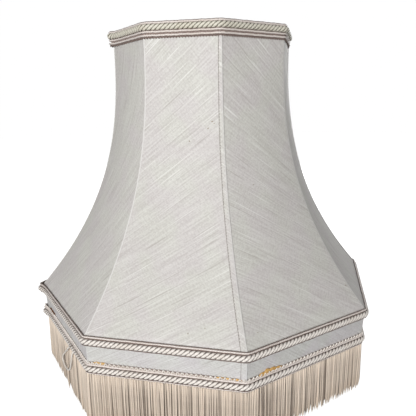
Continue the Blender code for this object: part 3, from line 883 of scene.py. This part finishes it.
middleTrim = {"band": (0.0018, -0.0071), "in": 0.0036, "out": 0.0041, "join": (0.0040, 0.0),
              "cord": ("cord", 0.0055, -0.0038),
              "twist": {"plies": 3, "pitch": 0.0046, "halfTall": 0.0030, "halfThick": 0.0021,
                        "plyRadius": 0.00146},
              "threads": (("thin_cord_1", "thin", 0.0045, 0.0009, 0.00078),
                          ("dark_thread_1", "darkLoop", 0.0045, -0.0003, 0.00045),
                          ("dark_thread_2", "darkLoop", 0.0052, -0.0077, 0.00045)),
              "loops": (("looped_edge", "darkLoop", (0.0038, 0, 0.0018, 0.0003, 1),
                         {"pitch": 0.0030, "swell": 0.16, "depth": 0.0001, "radius": 0.00026}),)}
makeTrim("middle", bellFlat, middleTrim)

lowerTrim = {"band": (-0.0268, -0.0393), "in": 0.0038, "out": 0.0043, "join": (0.0032, 0.0),
             "cord": ("cord", 0.0056, -0.0342),
             "twist": {"plies": 3, "pitch": 0.0048, "halfTall": 0.0030, "halfThick": 0.0020,
                       "plyRadius": 0.00144},
             "threads": (("thin_cord_1", "thin", 0.0048, -0.0297, 0.00092),
                         ("thin_cord_2", "thin", 0.0048, -0.0390, 0.00060),
                         ("dark_thread_1", "darkLoop", 0.0047, -0.0309, 0.00042),
                         ("dark_thread_2", "darkLoop", 0.0053, -0.0381, 0.00042)),
             "loops": (("picot_loops", "loop", (0.0040, 0.0008, -0.0294, 0.0027, 0.6),
                        {"pitch": 0.0045, "swell": 0.13, "depth": 0.0002, "radius": 0.00080}),
                       ("scallops", "darkLoop", (0.0046, 0, -0.0397, 0.0010, 1),
                        {"pitch": 0.0028, "swell": 0.18, "depth": 0.0002, "radius": 0.00042}))}
makeTrim("lower", skirtFlat, lowerTrim)

# fringe
fringeShape = {"headTop": 0.0300, "headLow": 0.0405, "tuck": 0.002, "foot": 0.0012, "out": 0.0036,
               "bend": 0.0030, "headBend": 0.002, "darkShare": 0.05, "headTone": 0.30, "every": 0.00135,
               "radius": 0.00082, "steps": 9, "around": 6, "uneven": 0.0013, "clump": 4, "tip": 0.15,
               "clumpPull": 0.20, "mostPull": 0.0022, "wander": 0.00040, "longer": 0.0095,
               "longAt": 0.03, "longWidth": 0.17, "rowGap": 0.0006, "tone": 0.73, "toneSpread": 0.11,
               "rowTone": 0.20, "backEvery": 0.00125, "backRadius": 0.00078, "backTone": 0.30,
               "backIn": 0.0013, "backShorter": 0.0035,
               "scatter": 0.00018, "depthScatter": 0.00012, "leanScatter": 0.0006, "bulge": 0.0002,
               "trimmed": (-0.0042, 0.0010), "thickness": (0.80, 1.12), "darkness": 0.25,
               "headFade": 0.16, "backUneven": 0.001, "backTrimmed": (-0.003, 0.002),
               "backLeanScatter": 0.0003, "headIn": 0.0001, "headOut": 0.0003}
strandShares = np.linspace(0, 1, fringeShape["steps"]) ** 0.8


def fringeStrands(spot, pull, sway, depth, length, lean):
    # Lines of strands hanging from under the trim, shaped (strands, steps, 3).
    f = fringeShape
    top = bellZ - f["headLow"] + f["tuck"]
    lines = []
    for share in strandShares:
        bowed = math.sin(share * math.pi)
        place = spot + pull * share + sway[:, 0] * share + sway[:, 1] * bowed
        base, normal = ringPath(skirtFlat + f["out"], f["bend"] + f["out"], place % 1)
        out = depth - f["out"] + lean * share + f["bulge"] * bowed
        lines.append(np.concatenate([base + normal * out[:, None], (top - length * share)[:, None]], -1))
    return np.stack(lines, 1)


def hangLength(spot):
    # The strands are longest near one place at the front.
    f = fringeShape
    slack = np.exp(-(((spot - f["longAt"] + 0.5) % 1 - 0.5) / f["longWidth"]) ** 2)
    return bellZ - f["headLow"] + f["tuck"] - (fringeBottom + f["foot"]) + f["longer"] * slack


def makeFringe():
    f = fringeShape
    section = upright(f["out"] - f["headIn"], f["out"] + f["headOut"],
                      bellZ - f["headTop"], bellZ - f["headLow"])
    header = sweepRing("fringe_header", skirtFlat, f["headBend"], section, 0.5)
    finishPiece(header, "strand", "fringe_strands")
    rng = np.random.default_rng(7)
    around = ringLength(skirtFlat + f["out"], f["bend"] + f["out"])
    perSide = int(around / f["every"]) // sides
    backSide = int(around / f["backEvery"]) // sides
    total = perSide * sides
    for number in range(sides):
        # the strands in front, in two staggered rows, drawn together in little groups
        index = np.arange(perSide) + number * perSide
        spot = (index + 0.5) / total + rng.normal(0, f["scatter"], perSide) / around
        group = np.floor(index / f["clump"] + 0.35 * np.sin(index * 0.9))
        toward = (group + 0.5) * f["clump"] / total
        pull = f["clumpPull"] * rng.uniform(0.2, 1.0, perSide) * (toward - spot)
        pull = np.clip(pull, -f["mostPull"] / around, f["mostPull"] / around)
        sway = rng.normal(0, f["wander"], (perSide, 2)) / around
        row = index % 2
        depth = f["out"] - 0.0002 + row * f["rowGap"] + rng.normal(0, f["depthScatter"], perSide)
        length = hangLength(spot) + rng.normal(0, f["uneven"], perSide).clip(*f["trimmed"])
        lean = rng.normal(0, f["leanScatter"], perSide)
        lines = fringeStrands(spot, pull, sway, depth, length, lean)
        radius = f["radius"] * rng.uniform(*f["thickness"], perSide)[:, None] * np.ones(f["steps"])
        # the inner row is given a darker tone, painted shade from the row in front
        shade = rng.normal(f["tone"], f["toneSpread"], perSide) + f["rowTone"] * (row - 0.5)
        shade = np.clip(shade, 0.0, 1.0)
        # a few strands darkened near to black, painted shade for the gaps between clumps
        shade[rng.random(perSide) < f["darkShare"]] *= f["darkness"]
        tone = shade[:, None] + f["headTone"] * np.exp(-(strandShares / f["headFade"]) ** 2)
        # an even row behind, always in shadow
        spot = (np.arange(backSide) + number * backSide + 0.5) / (backSide * sides)
        still = np.zeros(backSide)
        length = rng.normal(0, f["backUneven"], backSide).clip(*f["backTrimmed"])
        length = hangLength(spot) - f["backShorter"] + length
        back = fringeStrands(spot, still, np.zeros((backSide, 2)), still + f["out"] - f["backIn"],
                             length, rng.normal(0, f["backLeanScatter"], backSide))
        lines = np.concatenate([lines, back])
        radius = np.concatenate([radius, np.full((backSide, f["steps"]), f["backRadius"])])
        radius[:, -1] *= f["tip"]
        tone = np.concatenate([tone, np.full((backSide, f["steps"]), f["backTone"])])
        obj = tubes(f"fringe_side_{number + 1}", lines, radius, f["around"],
                    facingOf(-math.pi / 2 + number * sideTurn), tone=tone)
        finishPiece(obj, "strand", "fringe_strands", *(["fringe"] if number == 0 else []))
    print("fringe hung:", (perSide + backSide) * sides, "strands")


makeFringe()

# age: glue, specks and a pulled strand
markShape = {"onSkirt": 0.0038, "speckThick": 0.00012, "around": 18, "over": 8}
# side, share across it, drop under the bell ring, half width, half height, thickness
glueSpots = ((0, 0.065, 0.0268, 0.0030, 0.0010, 0.0007), (0, 0.100, 0.0272, 0.0034, 0.0013, 0.0008),
             (0, 0.840, 0.0273, 0.0040, 0.0007, 0.0006), (0, 0.890, 0.0275, 0.0045, 0.0008, 0.0006),
             (0, 0.945, 0.0276, 0.0045, 0.0009, 0.0006), (1, 0.115, 0.0272, 0.0042, 0.0016, 0.0008),
             (1, 0.150, 0.0262, 0.0048, 0.0022, 0.0009), (1, 0.190, 0.0260, 0.0050, 0.0021, 0.0009),
             (1, 0.235, 0.0266, 0.0048, 0.0014, 0.0008))
brownSpots = ((7, 0.130, 0.0252, 0.0036, 0.0013, 0.0010), (7, 0.175, 0.0256, 0.0040, 0.0016, 0.0012),
              (7, 0.220, 0.0258, 0.0034, 0.0013, 0.0010))
# side, share across it, height over the bell ring, half width, half height
bellSpecks = ((1, 0.971, 0.0225, 0.0007, 0.0006), (0, 0.862, 0.1979, 0.0010, 0.0006),
              (0, 0.811, 0.1911, 0.0007, 0.0007), (0, 0.589, 0.1783, 0.0007, 0.0006),
              (0, 0.886, 0.1959, 0.0006, 0.0005), (0, 0.650, 0.0082, 0.0006, 0.0007),
              (0, 0.756, 0.0129, 0.0005, 0.0004), (1, 0.330, 0.1329, 0.0007, 0.0004),
              (1, 0.099, 0.0096, 0.0005, 0.0005), (3, 0.420, 0.0900, 0.0008, 0.0006),
              (5, 0.300, 0.1500, 0.0007, 0.0005), (4, 0.640, 0.0400, 0.0009, 0.0006))
pulledStrand = {"side": 7, "out": 0.0068, "radius": 0.00090,
                # share across the side, drop under the bell ring, how much further out
                "path": ((0.735, 0.0285, 0.0020), (0.69, 0.0335, 0.0030), (0.63, 0.041, 0.0018),
                         (0.55, 0.049, 0), (0.48, 0.058, 0), (0.435, 0.065, 0), (0.445, 0.0705, 0),
                         (0.51, 0.0728, 0), (0.59, 0.069, 0), (0.635, 0.061, 0), (0.67, 0.051, 0),
                         (0.695, 0.042, -0.0006), (0.71, 0.036, -0.0030))}


def sideFrame(side, share, rowFlat, z, lean):
    # A point on one side of the shade, with its across, up and outward directions.
    facing = cornerAngle(side + 1) + sideTurn / 2
    width = float(sideWidth(rowFlat))
    across = np.array([-math.sin(facing), math.cos(facing), 0])
    normal = np.array([math.cos(facing), math.sin(facing), -lean]) / math.hypot(1, lean)
    centre = np.array([rowFlat * math.cos(facing), rowFlat * math.sin(facing), z])
    return centre + across * (share - 0.5) * width, across, np.cross(normal, across), normal


def blobs(name, look, spots):
    # Low irregular drops: (frame, half width, half height, thickness).
    rng = np.random.default_rng(11)
    turn = np.arange(markShape["around"]) * 2 * math.pi / markShape["around"]
    tilt = np.radians(np.linspace(4, 176, markShape["over"]))[:, None]
    grids = []
    for (centre, across, up, normal), halfWide, halfTall, thick in spots:
        phase = rng.uniform(0, 6.28, 3)
        edge = 1 + 0.18 * np.sin(2 * turn + phase[0]) + 0.14 * np.sin(3 * turn + phase[1])
        edge = edge + 0.10 * np.sin(5 * turn + phase[2])
        x = halfWide * edge * np.cos(turn) * np.sin(tilt)
        y = halfTall * edge * np.sin(turn) * np.sin(tilt)
        high = thick * np.cos(tilt) + 0 * turn
        grids.append(centre + across * x[..., None] + up * y[..., None] + normal * high[..., None])
    obj = gridMesh(name, np.stack(grids), wrapCols=True, tone=0.5)
    return finishPiece(obj, look, "gimp_braid")


def skirtSpot(side, share, drop, halfWide, halfTall, thick):
    rowFlat, z = onSkirt(drop, markShape["onSkirt"])
    return sideFrame(side, share, float(rowFlat), float(z), 0.0), halfWide, halfTall, thick


def bellSpot(side, share, height, halfWide, halfTall):
    bow = float(bowAt(np.array([height]), np.array([[share]]))[0, 0])
    rowFlat, z = onBell(height, cloth["out"] + bow)
    place = sideFrame(side, share, float(rowFlat), float(z), float(ribLean(height)))
    return place, halfWide, halfTall, markShape["speckThick"]


def smoothLine(points, steps):
    # A smooth line through points.
    points = np.asarray(points, float)
    ends = np.concatenate([points[:1] * 2 - points[1:2], points, points[-1:] * 2 - points[-2:-1]])
    t = np.linspace(0, 1, steps, endpoint=False)[:, None]
    line = []
    for a, b, c, d in zip(ends, ends[1:], ends[2:], ends[3:]):
        line.append(0.5 * (2 * b + (c - a) * t + (2 * a - 5 * b + 4 * c - d) * t ** 2
                           + (3 * b - a - 3 * c + d) * t ** 3))
    return np.concatenate(line + [points[-1:]])


blobs("glue_marks", "glue", [skirtSpot(*row) for row in glueSpots])
blobs("old_glue_marks", "oldGlue", [skirtSpot(*row) for row in brownSpots])
blobs("cloth_specks", "speck", [bellSpot(*row) for row in bellSpecks])
strand = []
for share, drop, further in pulledStrand["path"]:
    rowFlat = float(onSkirt(drop, 0.0)[0]) + pulledStrand["out"] + further
    strand.append(sideFrame(pulledStrand["side"], share, rowFlat, bellZ - drop, 0.0)[0])
loop = tubes("fringe_pulled_strand", smoothLine(strand, 6), pulledStrand["radius"], 8,
             facingOf(cornerAngle(pulledStrand["side"] + 1) + sideTurn / 2), tone=1.0)
finishPiece(loop, "loop", "fringe_strands")
print("age marks on")

# gimbal
gimbal = {"wire": 0.0015, "wireGap": 0.0003, "bend": 0.0060, "straight": 0.0060, "past": 0.0025,
          "over": 0.0040, "endRadius": 0.0009, "endLong": 0.0002, "hole": 0.021, "soft": 0.0003,
          "bead": (0.0290, 0.0283, 0.0270, 0.0263), "beadTall": 0.0004, "turns": 72}


def arcCorner(before, here, after, radius, steps):
    # Points of a round bend between two straight runs.
    back, on = (before - here).normalized(), (after - here).normalized()
    half = back.angle(on) / 2
    reach = radius / math.tan(half)
    centre = here + (back + on).normalized() * (radius / math.sin(half))
    start, end = here + back * reach - centre, here + on * reach - centre
    turn = start.angle(end)
    axis = start.cross(end).normalized()
    return [centre + Matrix.Rotation(turn * i / steps, 3, axis) @ start for i in range(steps + 1)]


def makeArm(name, side, edge, thick):
    # One arm wire, from past its lug down to the top of the fitter ring.
    g = gimbal
    low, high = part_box(f"lug_{name}")
    inner = low.x if side > 0 else -high.x
    outer = high.x if side > 0 else -low.x
    over = thick + g["wireGap"] + g["wire"]
    a, b, c, d = (Vector((side * x, 0, z)) for x, z in (
        (outer + g["past"], axisZ), (inner - g["straight"], axisZ), (edge + g["bend"], over),
        (edge - g["over"], over)))
    path = [a] + arcCorner(a, b, c, g["bend"], 8) + arcCorner(b, c, d, g["bend"], 8) + [d]
    line = [a + (a - path[1]).normalized() * g["endLong"]] + path
    line.append(d + (d - path[-2]).normalized() * g["endLong"])
    radius = np.concatenate([[g["endRadius"]], np.full(len(path), g["wire"]), [g["endRadius"]]])
    arm = tubes(f"arm_wire_{name}", np.array(line), radius, 14, (0, 1, 0), tone=0.5)
    finishPiece(arm, "steel", "steel_wire", f"arm_{name}", body="gimbal")


def makeGimbal():
    g = gimbal
    ringLow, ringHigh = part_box("fitter_ring")
    edge, thick = ringHigh.x, ringHigh.z - ringLow.z
    makeArm("right", 1, edge, thick)
    makeArm("left", -1, edge, thick)
    hole, soft = g["hole"], g["soft"]
    bead = g["bead"]
    lip = thick + g["beadTall"]
    section = np.array([
        (hole + soft, 0), (edge - soft, 0), (edge, soft), (edge, thick - soft), (edge - soft, thick),
        (bead[0], thick), (bead[1], lip), (bead[2], lip), (bead[3], thick), (hole + soft, thick),
        (hole, thick - soft), (hole, soft)])
    turns = np.arange(g["turns"]) * 2 * math.pi / g["turns"]
    ring = np.stack([np.cos(turns)[:, None] * section[:, 0], np.sin(turns)[:, None] * section[:, 0],
                     np.broadcast_to(section[:, 1], (g["turns"], len(section)))], -1)
    obj = gridMesh("fitter_plate", ring, True, True, tone=0.5)
    obj.modifiers.new("Edges", "EDGE_SPLIT").split_angle = math.radians(50)
    finishPiece(obj, "pressed", "pressed_steel", "fitter_ring", body="gimbal")


makeGimbal()
print("gimbal fitted")

# CAD pieces that stay
for name, obj in frame["nodes"].items():
    if obj.hide_render:
        continue
    look = "tape" if "tape" in name else "pressed" if name.startswith("lug") else "steel"
    obj.data.materials.clear()
    obj.data.materials.append(looks[look])

# room
studio = {"world": 0.293, "keyPower": 22.3, "keySize": 0.9, "keyTurn": -3, "keyLift": 7, "keyAway": 1.7,
          "backPower": 13.5, "backLift": 16, "tentRadius": 4.0, "tentGlow": 1.0, "floorGlow": 0.80,
          "aim": 0.1, "floorGap": 0.001}


def areaLight(name, azimuth, elevation, power):
    # A soft square light aimed at the middle of the shade; azimuth 0 is in front, + to the right.
    data = bpy.data.lights.new(name, "AREA")
    data.size = studio["keySize"]
    data.energy = power
    light = bpy.data.objects.new(name, data)
    turn, lift = math.radians(azimuth), math.radians(elevation)
    away = Vector((math.sin(turn) * math.cos(lift), -math.cos(turn) * math.cos(lift), math.sin(lift)))
    light.location = Vector((0, 0, bellZ + studio["aim"])) + away * studio["keyAway"]
    light.rotation_euler = (-away).to_track_quat("-Z", "Y").to_euler()
    light.visible_camera = False
    scene.collection.objects.link(light)


def glowingPaper(name, glow, albedo):
    material, shader = newMaterial(name, 0.9, 0.0)
    shader.inputs["Emission Strength"].default_value = glow
    shader.inputs["Emission Color"].default_value = (1, 1, 1, 1)
    put(shader.inputs["Base Color"], blend(solidNoise(shader, 60.0), (albedo,) * 3, (albedo + 3,) * 3))
    return material


def stagePiece(name, material):
    # Bright behind the shade, without lighting it.
    piece = bpy.context.object
    piece.name = name
    piece.data.materials.append(material)
    piece.visible_diffuse = False
    piece.visible_glossy = False
    return piece


def makeRoom():
    middle = (0, 0, fringeBottom - fringeShape["longer"] - studio["floorGap"])
    bpy.ops.mesh.primitive_circle_add(vertices=96, radius=studio["tentRadius"], fill_type="NGON",
                                      location=middle)
    stagePiece("floor", glowingPaper("palePaper", studio["floorGlow"], 232))
    bpy.ops.mesh.primitive_uv_sphere_add(segments=64, ring_count=32, radius=studio["tentRadius"],
                                         location=middle)
    tent = stagePiece("tent", glowingPaper("tentCloth", studio["tentGlow"], 20))
    tent.visible_shadow = False
    world = bpy.data.worlds.new("studio")
    scene.world = world
    world.use_nodes = True
    back = world.node_tree.nodes["Background"]
    back.inputs[0].default_value = (1, 1, 1, 1)
    back.inputs[1].default_value = studio["world"]
    areaLight("key", studio["keyTurn"], studio["keyLift"], studio["keyPower"])
    areaLight("back", studio["keyTurn"] + 180, studio["backLift"], studio["backPower"])
    scene.view_settings.view_transform = "Standard"


makeRoom()
print("room lit")
